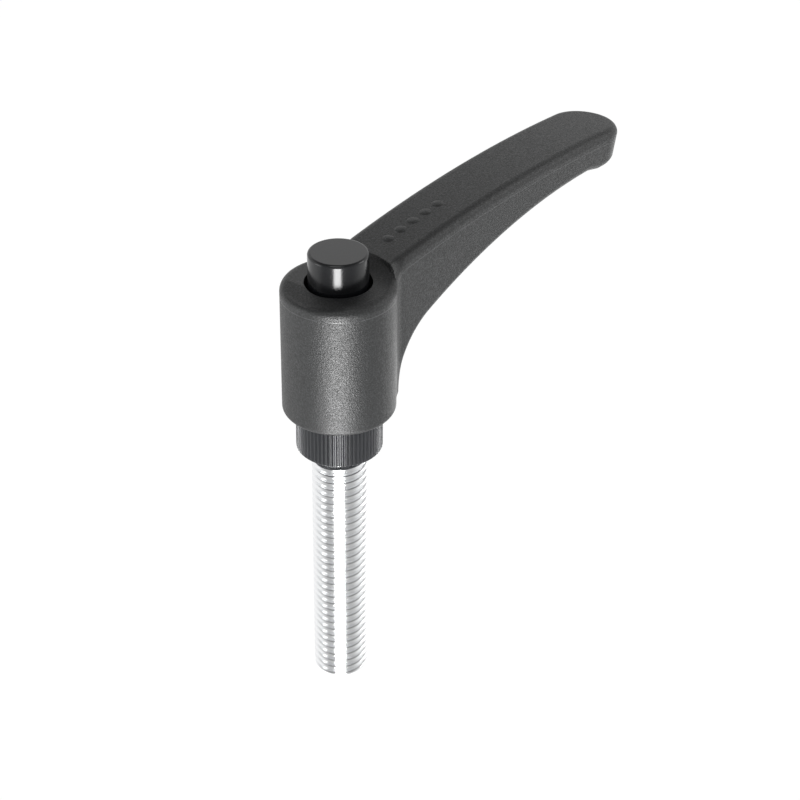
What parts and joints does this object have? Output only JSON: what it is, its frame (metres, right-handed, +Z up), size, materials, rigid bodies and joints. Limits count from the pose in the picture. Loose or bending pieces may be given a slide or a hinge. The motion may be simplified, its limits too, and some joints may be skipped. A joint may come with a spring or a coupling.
{
  "type": "adjustable clamping lever",
  "caption": "Moulded clamping lever with a serrated insert, a push button and a threaded stud; lifted against its spring, it swivels to a new grip position.",
  "frame": {"origin": "on the stud axis, in the plane where the insert's lower face seats on the work", "axes": "+Z up along the stud axis towards the button, +X along the arm, -Z out of the stud's free end"},
  "size_m": [0.0879, 0.02, 0.0889],
  "materials": {
    "lever_plastic": "glass-filled polyamide, fine spark-eroded texture",
    "button_plastic": "moulded acetal, polished wall and satin top",
    "blackened_steel": "black oxide on knurled steel",
    "zinc_plated_steel": "rolled thread, clear passivated zinc",
    "spring_steel": "drawn wire"
  },
  "bodies": {
    "clamping_unit": {"threaded_stud": "zinc_plated_steel", "serrated_insert": "blackened_steel", "retaining_screw": "spring_steel", "push_button": "button_plastic"},
    "spring_seat": {"return_spring": "spring_steel"},
    "lever": {"lever_body": "lever_plastic"}
  },
  "joints": [
    {"name": "lever_swivel", "type": "hinge", "parent": "clamping_unit", "child": "spring_seat", "pos_m": [0, 0, 0], "axis": [0, 0, 1], "continuous": true},
    {"name": "lever_lift", "type": "slide", "parent": "spring_seat", "child": "lever", "axis": [0, 0, 1], "range_m": [0, 0.0052], "stiffness_N_per_m": 1500, "springref_m": -0.005, "deforming": ["return_spring"]}
  ]
}
